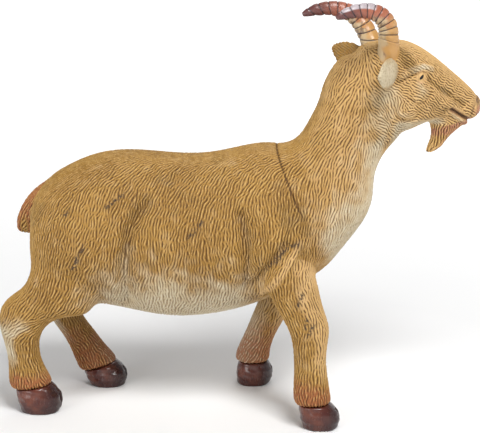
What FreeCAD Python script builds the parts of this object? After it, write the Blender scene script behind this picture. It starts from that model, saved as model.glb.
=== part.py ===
"""Standing goat figure, moulded in parts and glued together.

Frame: millimetres, the goat faces +X, its left side is +Y, +Z is up.
The origin lies on the standing surface, under the middle of the figure's box.
"""
import FreeCAD, Part
import math
import os

from FreeCAD import Vector

# ---- driving dimensions -------------------------------------------------------------------
WALL = 3.0               # wall of the hollow trunk and neck
GLUE_GAP = 0.2           # room for glue between two mouldings
PEG_FIT = 0.25           # radial room round a peg
SECTION_POINTS = 16      # points on each moulding section
SPIGOT_LENGTH = 9.0      # how far the neck reaches into the trunk
LEG_PEG_RADIUS = 5.0
HOOF_PEG_RADIUS = 4.0
HOOF_PEG_HEIGHT = 6.0
HORN_PEG_RADIUS = 3.0
EAR_PEG_RADIUS = 1.6
TAIL_PEG_RADIUS = 2.5
HEAD_TURN = 18.0         # degrees, the head looks to the goat's left
HEAD_PIVOT = Vector(85.0, 0.0, 0.0)

# The seam between neck and trunk runs in a plane from the withers to the brisket.
SEAM_TOP = (22.5, 169.0)
SEAM_FOOT = (56.0, 92.0)

# Each section is (top or rear point, bottom or front point, half width), points as (x, z).
TRUNK_SECTIONS = [
    ((-129.5, 117.5), (-130.0, 93.0), 13.0),
    ((-127.0, 135.5), (-128.5, 79.5), 26.0),
    ((-119.5, 146.0), (-121.0, 71.0), 33.0),
    ((-108.0, 153.2), (-108.0, 68.5), 37.5),
    ((-93.0, 159.5), (-92.0, 67.0), 39.0),
    ((-74.0, 163.0), (-73.0, 64.0), 39.5),
    ((-50.0, 162.0), (-50.0, 59.8), 41.0),
    ((-25.0, 161.3), (-25.0, 60.0), 41.5),
    ((-3.0, 165.2), (2.0, 65.5), 40.0),
    ((14.0, 168.4), (26.0, 75.0), 38.0),
]
NECK_SECTIONS = [
    ((24.0, 168.0), (51.5, 90.0), 36.0),
    ((33.5, 170.6), (66.0, 106.5), 32.5),
    ((40.5, 178.6), (77.8, 123.0), 28.5),
    ((46.0, 189.0), (82.6, 139.0), 25.0),
    ((50.2, 201.0), (84.0, 153.0), 22.0),
    ((55.0, 213.5), (89.3, 164.5), 20.0),
    ((62.5, 223.0), (96.5, 172.8), 17.5),
    ((76.0, 219.0), (97.0, 185.0), 12.0),
]
HEAD_SECTIONS = [
    ((68.0, 221.0), (79.0, 193.0), 9.0),
    ((72.5, 229.5), (90.0, 181.0), 15.5),
    ((86.0, 233.0), (100.0, 177.0), 18.5),
    ((100.5, 232.8), (110.0, 180.2), 19.0),
    ((110.0, 229.2), (118.0, 183.0), 17.0),
    ((119.5, 223.2), (124.0, 183.6), 14.5),
    ((130.2, 215.0), (132.0, 183.2), 12.0),
    ((140.6, 206.5), (139.5, 182.6), 10.2),
    ((148.0, 199.6), (145.6, 183.0), 9.0),
    ((151.2, 195.8), (149.0, 185.5), 6.5),
    ((152.0, 193.0), (151.4, 188.5), 3.0),
]
BEARD_SECTIONS = [
    ((121.5, 187.0), (140.5, 189.0), 7.0),
    ((120.5, 180.5), (143.0, 181.5), 7.0),
    ((121.3, 174.0), (136.0, 176.0), 5.5),
    ((119.0, 167.0), (128.5, 168.0), 4.2),
    ((115.8, 161.2), (120.5, 160.8), 2.0),
]

# Leg sections add the distance from the middle plane: (rear, front, half width, distance).
FRONT_FORWARD_LEG = [
    ((13.0, 107.0), (40.0, 110.0), 11.0, 22.0),
    ((15.0, 94.0), (45.0, 98.0), 13.0, 25.5),
    ((19.6, 81.5), (49.2, 85.0), 12.5, 29.0),
    ((26.4, 69.0), (53.2, 70.5), 11.5, 32.5),
    ((32.8, 57.5), (56.4, 60.0), 11.0, 35.5),
    ((35.2, 45.0), (55.0, 48.0), 9.8, 38.5),
    ((35.6, 33.5), (55.2, 35.5), 9.8, 40.5),
    ((35.2, 23.0), (57.0, 24.0), 10.6, 42.5),
    ((36.2, 15.3), (58.4, 15.3), 11.0, 43.0),
]
FRONT_REAR_LEG = [
    ((9.5, 107.0), (41.0, 110.0), 11.0, 22.0),
    ((11.5, 94.0), (43.5, 96.0), 13.0, 25.5),
    ((12.0, 81.0), (42.0, 79.5), 12.5, 28.0),
    ((12.2, 69.0), (38.4, 65.0), 11.5, 30.0),
    ((10.6, 57.5), (32.4, 54.0), 10.8, 31.5),
    ((5.8, 45.0), (26.2, 43.5), 9.8, 32.5),
    ((1.2, 33.5), (21.0, 33.0), 9.8, 33.5),
    ((-3.0, 24.0), (18.2, 23.5), 10.5, 34.5),
    ((-4.6, 15.8), (17.6, 15.8), 11.0, 34.5),
]
HIND_REAR_LEG = [
    ((-121.0, 111.0), (-85.0, 95.0), 13.0, 21.0),
    ((-128.0, 94.0), (-87.0, 75.0), 14.5, 22.0),
    ((-133.5, 81.5), (-96.0, 64.5), 14.5, 23.0),
    ((-145.5, 71.5), (-112.0, 61.5), 13.0, 23.5),
    ((-149.8, 62.0), (-121.5, 55.0), 11.5, 24.0),
    ((-148.8, 52.0), (-125.4, 47.0), 10.5, 24.0),
    ((-146.5, 43.0), (-126.0, 40.0), 9.8, 24.0),
    ((-145.0, 31.5), (-124.6, 32.5), 9.5, 24.0),
    ((-145.2, 22.0), (-121.4, 25.0), 10.8, 24.0),
    ((-143.4, 15.2), (-118.0, 18.2), 11.5, 24.0),
]
HIND_FORWARD_LEG = [
    ((-121.0, 111.0), (-85.0, 95.0), 13.0, 21.0),
    ((-126.5, 92.0), (-86.0, 76.0), 14.5, 22.0),
    ((-130.0, 78.0), (-93.5, 65.5), 14.0, 23.5),
    ((-132.0, 66.5), (-103.5, 57.5), 12.8, 25.5),
    ((-130.5, 55.5), (-107.5, 50.5), 11.5, 26.5),
    ((-125.6, 44.5), (-104.4, 43.0), 10.5, 27.0),
    ((-119.0, 34.0), (-98.4, 35.0), 9.8, 27.5),
    ((-114.0, 24.0), (-93.4, 28.0), 10.0, 27.5),
    ((-110.8, 15.6), (-87.8, 21.4), 10.8, 27.5),
    ((-108.0, 9.8), (-84.0, 16.6), 11.5, 27.5),
]

# Hoof levels: (share of cuff height, rear inset, front inset, share of the lean, narrowing).
HOOF_PROFILE = [
    (0.0, 3.4, -1.6, 1.0, 0.6),
    (0.34, 2.0, -4.0, 0.8, -0.4),
    (1.0, 2.4, 1.0, 0.0, 0.9),
]
CLEFT_DEPTH = 9.0
CLEFT_HALF_WIDTH = 2.6
CLEFT_HEIGHT = 12.0

# Horn centre line in the head's frame: (x, distance from the middle plane, z, half thickness).
HORN_SECTIONS = [
    (86.0, 11.5, 221.5, 6.8),
    (85.6, 14.6, 230.0, 6.6),
    (83.8, 19.0, 237.5, 6.2),
    (80.8, 23.2, 244.2, 5.8),
    (75.2, 26.5, 249.4, 5.2),
    (67.0, 29.0, 252.0, 4.7),
    (58.6, 30.8, 252.0, 4.0),
    (51.4, 31.8, 250.4, 3.0),
    (46.4, 32.4, 248.6, 1.3),
]
HORN_ROLL = -3.0         # degrees, the pair of horns leans to the goat's left
HORN_PEG_LENGTH = 14.0
LEFT_EAR_ROOT = Vector(89.0, 16.5, 212.5)
RIGHT_EAR_ROOT = Vector(90.5, -15.2, 216.6)
EAR_LENGTH = 32.0
EAR_HALF_WIDTHS = (3.4, 8.0, 9.2, 7.6, 1.6)
EAR_HALF_THICKNESS = 1.8
LEFT_EAR_POINTING = Vector(-0.72, 0.62, 0.46)
RIGHT_EAR_POINTING = Vector(-0.63, -0.77, -0.02)

TAIL_SECTIONS = [
    ((-120.0, 143.5), (-118.5, 134.0), 5.5),
    ((-128.0, 140.5), (-124.5, 130.0), 7.5),
    ((-136.2, 131.0), (-129.5, 125.0), 8.0),
    ((-140.8, 121.5), (-131.0, 117.5), 7.0),
    ((-142.0, 114.0), (-131.5, 112.0), 5.0),
    ((-139.2, 110.0), (-134.0, 109.8), 2.0),
]


# ---- shared helpers -----------------------------------------------------------------------
def signed_power(value, power):
    return math.copysign(abs(value) ** power, value)


def section_wire(first, second, half_width, side=0.0, squareness=2.3):
    """A closed egg across the middle plane, between two points (x, z) of its outline."""
    start = Vector(first[0], side, first[1])
    end = Vector(second[0], side, second[1])
    centre = (start + end) * 0.5
    half = (start - end) * 0.5
    power = 2.0 / squareness
    points = []
    for step in range(SECTION_POINTS):
        angle = 2.0 * math.pi * step / SECTION_POINTS
        along = signed_power(math.cos(angle), power)
        across = half_width * signed_power(math.sin(angle), power)
        points.append(centre + half * along + Vector(0.0, across, 0.0))
    curve = Part.BSplineCurve()
    curve.interpolate(Points=points, PeriodicFlag=True)
    return Part.Wire([curve.toShape()])


def grown(section, amount):
    """The same section with its outline moved outwards, or inwards when amount is below 0."""
    first = Vector(section[0][0], 0.0, section[0][1])
    second = Vector(section[1][0], 0.0, section[1][1])
    step = (first - second).normalize() * amount
    first = first + step
    second = second - step
    return ((first.x, first.z), (second.x, second.z), section[2] + amount)


def loft(wires):
    return Part.makeLoft(wires, True, False)


def body_loft(sections, amount=0.0):
    return loft([section_wire(*grown(section, amount)) for section in sections])


def beyond_seam(offset):
    """A large block that fills everything ahead of the seam plane, moved by offset."""
    along = Vector(SEAM_FOOT[0] - SEAM_TOP[0], 0.0, SEAM_FOOT[1] - SEAM_TOP[1]).normalize()
    ahead = Vector(-along.z, 0.0, along.x)
    reach = 400.0
    corner = Vector(SEAM_TOP[0], 0.0, SEAM_TOP[1]) + ahead * offset
    corners = []
    for run, side in ((-1, -1), (-1, 1), (1, 1), (1, -1)):
        corners.append(corner + along * (run * reach) + Vector(0.0, side * reach, 0.0))
    corners.append(corners[0])
    return Part.Face(Part.makePolygon(corners)).extrude(ahead * reach)


def turned(shape):
    """Turns a shape from the head's straight frame to where the head looks."""
    result = shape.copy()
    result.rotate(HEAD_PIVOT, Vector(0.0, 0.0, 1.0), HEAD_TURN)
    return result


def one_solid(shape, name):
    solids = sorted(shape.Solids, key=lambda solid: solid.Volume)
    if not solids:
        raise ValueError(name + " has no solid")
    return solids[-1]


def peg(base, direction, radius, length):
    return Part.makeCylinder(radius, length, base, direction)


# ---- body outline -------------------------------------------------------------------------
def body_outer(amount=0.0):
    return body_loft(TRUNK_SECTIONS + NECK_SECTIONS, amount)


def body_inner(wall):
    return body_loft(TRUNK_SECTIONS[2:] + NECK_SECTIONS[:-1], -wall)


def head_outer():
    skull = body_loft(HEAD_SECTIONS)
    beard = body_loft(BEARD_SECTIONS)
    return turned(skull.fuse(beard))


def head_inner():
    return turned(body_loft(HEAD_SECTIONS[1:7], -WALL))


# ---- mouldings ----------------------------------------------------------------------------
# Each leg: its sections, its side, and how far the sole is ahead of the cuff above it.
LEGS = {
    "front_right": (FRONT_FORWARD_LEG, -1, 1.8),
    "front_left": (FRONT_REAR_LEG, 1, -2.0),
    "hind_right": (HIND_REAR_LEG, -1, 2.6),
    "hind_left": (HIND_FORWARD_LEG, 1, 3.4),
}


def leg_peg(sections, side, extra):
    """A round peg that stands up from the leg through the trunk's lower wall."""
    rear, front, _, distance = sections[1]
    middle = Vector((rear[0] + front[0]) / 2, side * (distance - 1.0), (rear[1] + front[1]) / 2)
    return peg(middle - Vector(0.0, 0.0, 20.0), Vector(0.0, 0.0, 1.0), LEG_PEG_RADIUS + extra, 28.0)


def hoof_peg(sections, side, extra):
    rear, front, _, distance = sections[-1]
    top = Vector((rear[0] + front[0]) / 2, side * distance, (rear[1] + front[1]) / 2)
    base = top - Vector(0.0, 0.0, 3.0 + extra)
    length = 3.0 + HOOF_PEG_HEIGHT + 2 * extra
    return peg(base, Vector(0.0, 0.0, 1.0), HOOF_PEG_RADIUS + extra, length)


def make_leg(sections, side, body_clearance):
    wires = []
    for rear, front, half_width, distance in sections:
        wires.append(section_wire(rear, front, half_width, side * distance))
    leg = loft(wires).cut(body_clearance)
    leg = one_solid(leg, "leg")
    leg = leg.fuse(leg_peg(sections, side, 0.0))
    leg = leg.cut(hoof_peg(sections, side, PEG_FIT))
    return one_solid(leg.removeSplitter(), "leg")


def make_hoof(sections, side, lean):
    """A cloven hoof: flat sole, walls that spread downwards, a notch between the two toes."""
    rear, front, half_width, distance = sections[-1]
    middle = side * distance
    wires = []
    for height, rear_inset, front_inset, lean_share, narrowing in HOOF_PROFILE:
        low_rear = (rear[0] + rear_inset + lean * lean_share, (rear[1] - GLUE_GAP) * height)
        low_front = (front[0] - front_inset + lean * lean_share, (front[1] - GLUE_GAP) * height)
        wires.append(section_wire(low_rear, low_front, half_width - narrowing, middle))
    block = loft(wires)
    toe = front[0] - HOOF_PROFILE[0][2] + lean
    outline = [
        Vector(toe - CLEFT_DEPTH, middle, 0.0),
        Vector(toe + 4.0, middle - CLEFT_HALF_WIDTH, 0.0),
        Vector(toe + 4.0, middle + CLEFT_HALF_WIDTH, 0.0),
        Vector(toe - CLEFT_DEPTH, middle, 0.0),
    ]
    notch = Part.Face(Part.makePolygon(outline)).extrude(Vector(0.0, 0.0, CLEFT_HEIGHT))
    hoof = block.cut(notch).fuse(hoof_peg(sections, side, 0.0))
    return one_solid(hoof.removeSplitter(), "hoof")


def horn_wire(centre, tangent, half):
    across = tangent.cross(Vector(0.0, 1.0, 0.0)).normalize()
    lateral = tangent.cross(across).normalize()
    points = []
    for step in range(SECTION_POINTS):
        angle = 2.0 * math.pi * step / SECTION_POINTS
        offset = across * (half * math.cos(angle)) + lateral * (0.82 * half * math.sin(angle))
        points.append(centre + offset)
    curve = Part.BSplineCurve()
    curve.interpolate(Points=points, PeriodicFlag=True)
    return Part.Wire([curve.toShape()])


def placed_horn(shape, side):
    """Mirrors a right-hand shape to the left if asked, then leans and turns it with the head."""
    result = shape.copy()
    if side > 0:
        result = result.mirror(Vector(0.0, 0.0, 0.0), Vector(0.0, 1.0, 0.0))
    result.rotate(Vector(0.0, 0.0, HORN_SECTIONS[0][2]), Vector(1.0, 0.0, 0.0), HORN_ROLL)
    return turned(result)


def make_horn(side):
    """A horn that rises from the crown and sweeps back and out."""
    centres = [Vector(x, -distance, z) for x, distance, z, _ in HORN_SECTIONS]
    wires = []
    for index, (_, _, _, half) in enumerate(HORN_SECTIONS):
        before = centres[max(index - 1, 0)]
        after = centres[min(index + 1, len(centres) - 1)]
        wires.append(horn_wire(centres[index], (after - before).normalize(), half))
    return placed_horn(loft(wires), side)


def horn_peg(side, extra):
    """A round peg from inside the horn down through the crown."""
    x, distance, z, _ = HORN_SECTIONS[1]
    tip = Vector(x, -distance, z)
    x, distance, z, _ = HORN_SECTIONS[0]
    direction = (tip - Vector(x, -distance + 2.0, z)).normalize()
    length = HORN_PEG_LENGTH + extra
    straight = peg(tip - direction * length, direction, HORN_PEG_RADIUS + extra, length)
    return placed_horn(straight, side)


def ear_frame(pointing):
    """Directions along the ear, across its leaf and through its thickness."""
    along = Vector(pointing).normalize()
    across = (Vector(0.0, 0.0, 1.0) - along * along.z).normalize()
    through = along.cross(across).normalize()
    return along, across, through


def ear_root(pointing):
    return LEFT_EAR_ROOT if pointing.y > 0.0 else RIGHT_EAR_ROOT


def make_ear(pointing):
    """A leaf-shaped ear on a short round root."""
    along, across, through = ear_frame(pointing)
    root = ear_root(pointing)
    wires = []
    for index, half in enumerate(EAR_HALF_WIDTHS):
        share = index / (len(EAR_HALF_WIDTHS) - 1)
        centre = root + along * (EAR_LENGTH * share)
        thickness = EAR_HALF_THICKNESS * (1.15 - 0.55 * share)
        points = []
        for step in range(SECTION_POINTS):
            angle = 2.0 * math.pi * step / SECTION_POINTS
            wide = across * (half * math.cos(angle))
            thick = through * (thickness * math.sin(angle))
            points.append(centre + wide + thick)
        curve = Part.BSplineCurve()
        curve.interpolate(Points=points, PeriodicFlag=True)
        wires.append(Part.Wire([curve.toShape()]))
    return turned(loft(wires))


def ear_peg(pointing, extra):
    along = Vector(pointing).normalize()
    start = ear_root(pointing) - along * (5.0 + extra)
    return turned(peg(start, along, EAR_PEG_RADIUS + extra, 8.0 + extra))


def tail_peg(extra):
    start = Vector(-126.0, 0.0, 139.5)
    direction = Vector(1.0, 0.0, 0.0)
    return peg(start, direction, TAIL_PEG_RADIUS + extra, 12.0 + extra)


def make_trunk(outer, inner):
    """The hollow barrel with shoulders and hips, open at the neck seam."""
    ahead = beyond_seam(-GLUE_GAP / 2)
    trunk = outer.cut(ahead).cut(inner)
    for sections, side, _ in LEGS.values():
        trunk = trunk.cut(leg_peg(sections, side, PEG_FIT))
    trunk = trunk.cut(tail_peg(PEG_FIT))
    return one_solid(trunk, "trunk")


def make_head_neck(outer, inner):
    """The hollow neck and head with the beard, and a spigot that plugs into the trunk."""
    ahead = beyond_seam(GLUE_GAP / 2)
    shell = outer.common(ahead).fuse(head_outer())
    shell = shell.cut(inner.common(ahead)).cut(head_inner())
    spigot_block = beyond_seam(-SPIGOT_LENGTH).cut(beyond_seam(2.0))
    spigot = body_inner(WALL + PEG_FIT).common(spigot_block).cut(body_inner(2 * WALL))
    shell = shell.fuse(spigot)
    for side in (-1, 1):
        shell = shell.cut(horn_peg(side, PEG_FIT))
    for pointing in (LEFT_EAR_POINTING, RIGHT_EAR_POINTING):
        shell = shell.cut(ear_peg(pointing, PEG_FIT))
    return one_solid(shell, "head and neck")


def make_all():
    outer = body_outer()
    inner = body_inner(WALL)
    clearance = body_outer(GLUE_GAP)
    parts = {
        "trunk_shell": make_trunk(outer, inner),
        "head_neck_shell": make_head_neck(outer, inner),
    }
    head_clearance = head_outer().fuse(clearance)
    for side, label in ((-1, "right"), (1, "left")):
        horn = one_solid(make_horn(side).cut(head_clearance), "horn")
        parts[label + "_horn"] = one_solid(horn.fuse(horn_peg(side, 0.0)), "horn")
    for pointing, label in ((RIGHT_EAR_POINTING, "right"), (LEFT_EAR_POINTING, "left")):
        ear = one_solid(make_ear(pointing).cut(head_clearance), "ear")
        parts[label + "_ear"] = one_solid(ear.fuse(ear_peg(pointing, 0.0)), "ear")
    tail = one_solid(body_loft(TAIL_SECTIONS).cut(clearance), "tail")
    parts["tail"] = one_solid(tail.fuse(tail_peg(0.0)), "tail")
    for label, (sections, side, lean) in LEGS.items():
        parts[label + "_leg"] = make_leg(sections, side, clearance)
        parts[label + "_hoof"] = make_hoof(sections, side, lean)
    return parts


def centred(parts):
    """Moves every part so that the origin lies under the middle of the whole figure's box."""
    box = FreeCAD.BoundBox()
    for shape in parts.values():
        box.add(shape.optimalBoundingBox(True, False))
    shift = Vector(-box.Center.x, -box.Center.y, 0.0)
    return {name: shape.translated(shift) for name, shape in parts.items()}


os.makedirs("parts", exist_ok=True)
for name, shape in centred(make_all()).items():
    shape.exportStep("parts/" + name + ".step")
    print(name, "valid", shape.isValid(), "cm3", round(shape.Volume / 1000, 2))
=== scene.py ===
import math

import bmesh
import bpy
import numpy as np
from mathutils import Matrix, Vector, kdtree
from mathutils.bvhtree import BVHTree


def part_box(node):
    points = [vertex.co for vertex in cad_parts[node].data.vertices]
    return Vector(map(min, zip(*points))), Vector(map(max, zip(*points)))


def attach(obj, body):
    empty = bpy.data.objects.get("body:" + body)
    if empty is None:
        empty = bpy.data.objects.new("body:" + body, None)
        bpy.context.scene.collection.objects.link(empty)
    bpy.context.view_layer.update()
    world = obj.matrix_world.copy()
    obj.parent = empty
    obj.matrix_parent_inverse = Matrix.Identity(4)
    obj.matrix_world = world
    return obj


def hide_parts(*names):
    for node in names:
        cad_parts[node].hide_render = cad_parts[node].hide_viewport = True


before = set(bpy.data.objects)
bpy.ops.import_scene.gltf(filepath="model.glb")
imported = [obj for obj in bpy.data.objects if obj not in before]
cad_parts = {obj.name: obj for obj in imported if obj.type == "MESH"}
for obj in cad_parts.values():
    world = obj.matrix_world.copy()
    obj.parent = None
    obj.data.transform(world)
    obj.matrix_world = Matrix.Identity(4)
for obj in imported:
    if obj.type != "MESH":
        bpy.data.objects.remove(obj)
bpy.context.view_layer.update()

random = np.random.default_rng(20)
MM = 0.001
FULL_TURN = 2.0 * math.pi

# ---- driving dimensions, in metres unless said
ROUGH_VOXEL = 1.5 * MM       # first skin over all the mouldings
SWELL = 0.4 * MM             # closes the glue gaps in that first skin
SKIN_VOXEL = 0.50 * MM       # final skin
SMALL_VOXEL = 0.42 * MM      # horns, hooves and ears
STROKE_PITCH = 1.75 * MM     # from one ridge of hair to the next
STROKE_HEIGHT = 0.95 * MM    # from the bottom of a groove to the top of a ridge
STROKE_WOBBLE = 0.42 * MM    # how far a ridge strays from its line
TUFT_REACH = 3.4 * MM        # how far a tuft of ridges spreads along the hair
TUFT_BREADTH = 1.8 * MM      # and across it
TUFT_ROOM = (0.50, 0.62)     # shares of those that no other tuft starts in
TUFT_TURN = 0.20             # radians, how much tufts differ in direction
TUFT_BEND = 0.016 / MM       # how much its ridges may curve, in parts of a metre
TUFT_FADE = (1.6, 1.2)       # how fast it fades along the hair and across it
TUFT_SLIP = 0.7              # radians of a ridge's round, how badly neighbouring tufts join
HEAD_TURN = math.radians(18.0)   # to the goat's left
HEAD_MIDDLE = 3.5            # mm, how far the head's middle plane lies to the left of the nose tip

COAT_NODES = (
    "trunk_shell", "head_neck_shell", "tail",
    "front_right_leg", "front_left_leg", "hind_right_leg", "hind_left_leg",
)
LEG_NODES = COAT_NODES[3:]
HOOF_NODES = ("front_right_hoof", "front_left_hoof", "hind_right_hoof", "hind_left_hoof")


# ---- places worked out from the frame
BOX = {name: [np.array(corner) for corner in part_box(name)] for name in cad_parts}


def points_of(mesh):
    points = np.empty(len(mesh.vertices) * 3)
    mesh.vertices.foreach_get("co", points)
    return points.reshape(-1, 3)


def node_points(name):
    return points_of(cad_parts[name].data)


def nose_tip():
    """The foremost point of the head. The head is turned, so this lies to the right of its middle plane."""
    points = node_points("head_neck_shell")
    forward = points[:, 0]
    return points[forward > forward.max() - 0.5 * MM].mean(axis=0)


NOSE = nose_tip()
MIDDLE_Y = (BOX["trunk_shell"][0][1] + BOX["trunk_shell"][1][1]) / 2
HEAD_FORWARD = np.array([math.cos(HEAD_TURN), math.sin(HEAD_TURN), 0.0])
HEAD_LEFT = np.array([-math.sin(HEAD_TURN), math.cos(HEAD_TURN), 0.0])


def head_place(behind, side, above):
    """A point from the nose tip: so far behind it, to the goat's left and above, in millimetres."""
    up = np.array([0.0, 0.0, 1.0])
    return NOSE + (HEAD_LEFT * side - HEAD_FORWARD * behind + up * above) * MM


def mirrored(place, side):
    """A place on the right of the head for side -1, and its mirror image on the left for side 1."""
    behind, beside, above = place
    return head_place(behind, side * beside + (1.0 + side) * HEAD_MIDDLE, above)


def head_coordinates(points):
    """Distances behind the nose tip, to the goat's left and above it, in millimetres."""
    away = (points - NOSE) / MM
    return -away @ HEAD_FORWARD, away @ HEAD_LEFT, away[:, 2]


# ---- mesh helpers
def smoothstep(low, high, value):
    share = np.clip((value - low) / (high - low), 0.0, 1.0)
    return share * share * (3.0 - 2.0 * share)


def bell(distance, width):
    return np.exp(-(distance / width) ** 2)


def unit(vectors):
    length = np.linalg.norm(vectors, axis=-1, keepdims=True)
    return vectors / np.maximum(length, 1e-12)


def normals_of(mesh):
    normals = np.empty(len(mesh.vertices) * 3)
    mesh.vertex_normals.foreach_get("vector", normals)
    return normals.reshape(-1, 3)


def edges_of(mesh):
    edges = np.empty(len(mesh.edges) * 2, int)
    mesh.edges.foreach_get("vertices", edges)
    return edges.reshape(-1, 2)


def set_points(mesh, points):
    mesh.vertices.foreach_set("co", points.ravel())
    mesh.update()


def linked(name, mesh):
    thing = bpy.data.objects.new(name, mesh)
    bpy.context.scene.collection.objects.link(thing)
    return thing


def joined_nodes(names, swell=0.0):
    """One mesh that holds copies of these CAD nodes, each grown outwards by the swell."""
    grid = bmesh.new()
    for name in names:
        grid.from_mesh(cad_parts[name].data)
    bmesh.ops.remove_doubles(grid, verts=grid.verts, dist=0.001 * MM)
    grid.normal_update()
    for vertex in grid.verts:
        vertex.co += vertex.normal * swell
    mesh = bpy.data.meshes.new("joined")
    grid.to_mesh(mesh)
    grid.free()
    return mesh


def remeshed(mesh, voxel):
    """The same solid on an even grid of squares."""
    thing = linked("remesh", mesh)
    modifier = thing.modifiers.new("grid", "REMESH")
    modifier.mode = "VOXEL"
    modifier.voxel_size = voxel
    view = bpy.context.evaluated_depsgraph_get()
    result = bpy.data.meshes.new_from_object(thing.evaluated_get(view))
    bpy.data.objects.remove(thing)
    return result


def surface_tree(mesh):
    return BVHTree.FromPolygons(points_of(mesh).tolist(), [list(face.vertices) for face in mesh.polygons])


def seen_from_outside(mesh, rays=14):
    """True at the vertices from which some straight line leaves the solid."""
    points, normals = points_of(mesh), normals_of(mesh)
    tree = surface_tree(mesh)
    leanings = 0.9 * unit(random.normal(size=(rays, 3)))
    seen = np.zeros(len(points), bool)
    for index, (point, normal) in enumerate(zip(points, normals)):
        start = Vector(point + normal * 0.3 * MM)
        seen[index] = any(tree.ray_cast(start, Vector(normal + lean))[0] is None
                          for lean in leanings)
    return seen


def largest_part(mesh):
    """Labels the vertices and says which are in the part with the most of them."""
    edges = edges_of(mesh)
    label = np.arange(len(mesh.vertices))
    while True:
        before = label.copy()
        lowest = np.minimum(label[edges[:, 0]], label[edges[:, 1]])
        np.minimum.at(label, edges[:, 0], lowest)
        np.minimum.at(label, edges[:, 1], lowest)
        label = label[label]
        if np.array_equal(label, before):
            break
    names, counts = np.unique(label, return_counts=True)
    return label == names[np.argmax(counts)]


def keep_vertices(mesh, keep):
    grid = bmesh.new()
    grid.from_mesh(mesh)
    grid.verts.ensure_lookup_table()
    bmesh.ops.delete(grid, geom=[grid.verts[i] for i in np.flatnonzero(~keep)], context="VERTS")
    return grid


def outer_skin(mesh):
    """The outside surface alone, closed again where the inner walls were joined to it."""
    grid = keep_vertices(mesh, seen_from_outside(mesh))
    grid.to_mesh(mesh)
    grid.free()
    grid = keep_vertices(mesh, largest_part(mesh))
    rim = [edge for edge in grid.edges if edge.is_boundary]
    bmesh.ops.holes_fill(grid, edges=rim, sides=0)
    bmesh.ops.recalc_face_normals(grid, faces=grid.faces)
    grid.to_mesh(mesh)
    grid.free()
    return remeshed(mesh, ROUGH_VOXEL)


def smoothed(points, edges, weight, rounds):
    """Moves each point towards the mean of its neighbours, by its weight."""
    count = len(points)
    first, second = edges[:, 0], edges[:, 1]
    degree = np.bincount(edges.ravel(), minlength=count).astype(float)
    degree[degree == 0] = 1.0
    points = points.copy()
    for _ in range(rounds):
        for axis in range(points.shape[1]):
            column = points[:, axis]
            total = np.bincount(first, column[second], count)
            total += np.bincount(second, column[first], count)
            points[:, axis] = column + weight * (total / degree - column)
    return points


def segment_distance(points, start, end):
    """Distance to a segment and the share of the way along it."""
    run = end - start
    share = np.clip((points - start) @ run / (run @ run), 0.0, 1.0)
    return np.linalg.norm(points - (start + share[:, None] * run), axis=1), share


def path_distance(points, path):
    best = np.full(len(points), 1.0)
    for start, end in zip(path[:-1], path[1:]):
        distance, _ = segment_distance(points, start, end)
        best = np.minimum(best, distance)
    return best


def push_along(points, normals, amount):
    return points + normals * amount[:, None]


# ---- the skin over all the mouldings
def closeness(points, node, reach):
    """Near 1 on a node's surface, falling to 0 at a few times the reach."""
    tree = surface_tree(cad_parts[node].data)
    result = np.zeros(len(points))
    low, high = BOX[node]
    inside = np.all((points > low - 3 * reach) & (points < high + 3 * reach), axis=1)
    for index in np.flatnonzero(inside):
        found = tree.find_nearest(points[index], 3 * reach)
        if found[3] is not None:
            result[index] = math.exp(-(found[3] / reach) ** 2)
    return result


def trunk_side(along, up):
    """A point on both flanks at these shares of the trunk's box, as (x, z)."""
    low, high = BOX["trunk_shell"]
    return low[0] + (high[0] - low[0]) * along, low[2] + (high[2] - low[2]) * up


def flank_field(points, along, up, radius_x, radius_z):
    """A soft round patch on both flanks, radii in millimetres."""
    x, z = trunk_side(along, up)
    across = (points[:, 0] - x) / (radius_x * MM)
    height = (points[:, 2] - z) / (radius_z * MM)
    return np.exp(-across ** 2 - height ** 2)


def flank_line(points, stations, width):
    """Closeness to a line drawn on both flanks through these stations, width in millimetres."""
    flat = points[:, [0, 2]]
    path = [np.array(trunk_side(along, up)) for along, up in stations]
    return bell(path_distance(flat, path), width * MM)


THIGH_CREASE = [(0.40, 0.72), (0.345, 0.55), (0.33, 0.30), (0.33, 0.14)]
THIGH_RIDGE = [(0.36, 0.72), (0.30, 0.55), (0.285, 0.30), (0.28, 0.16)]
SHOULDER_CREASE = [(0.715, 0.66), (0.733, 0.52), (0.733, 0.36), (0.725, 0.22)]
SHOULDER_RIDGE = [(0.76, 0.68), (0.775, 0.54), (0.775, 0.40)]
ELBOW_RIDGE = [(0.787, 0.205), (0.85, 0.33), (0.908, 0.50)]
ELBOW_CREASE = [(0.750, 0.25), (0.80, 0.36), (0.86, 0.50)]
BODY_SHAPES = [    # height in millimetres, kind of shape and where it is
    (3.6, flank_field, 0.17, 0.38, 24, 26),      # thigh
    (-2.2, flank_field, 0.42, 0.52, 13, 26),     # flank hollow
    (-3.6, flank_line, THIGH_CREASE, 3.6),
    (1.6, flank_line, THIGH_RIDGE, 4.0),
    (1.2, flank_field, 0.58, 0.40, 22, 26),      # barrel
    (2.6, flank_field, 0.85, 0.46, 17, 26),      # shoulder
    (-4.0, flank_line, SHOULDER_CREASE, 3.0),
    (1.6, flank_line, SHOULDER_RIDGE, 4.0),
    (3.4, flank_line, ELBOW_RIDGE, 2.8),
    (-3.2, flank_line, ELBOW_CREASE, 2.6),
]


def sculpt_body(points, normals):
    """Muscles, folds and hollows of the trunk and the tops of the legs."""
    facing_side = smoothstep(0.25, 0.7, np.abs(normals[:, 1]))
    amount = 1.6 * flank_field(points, 0.24, 0.80, 14, 9)    # hip bone
    for height, shape, *where in BODY_SHAPES:
        amount += height * shape(points, *where) * facing_side
    return push_along(points, normals, amount * MM)


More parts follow.
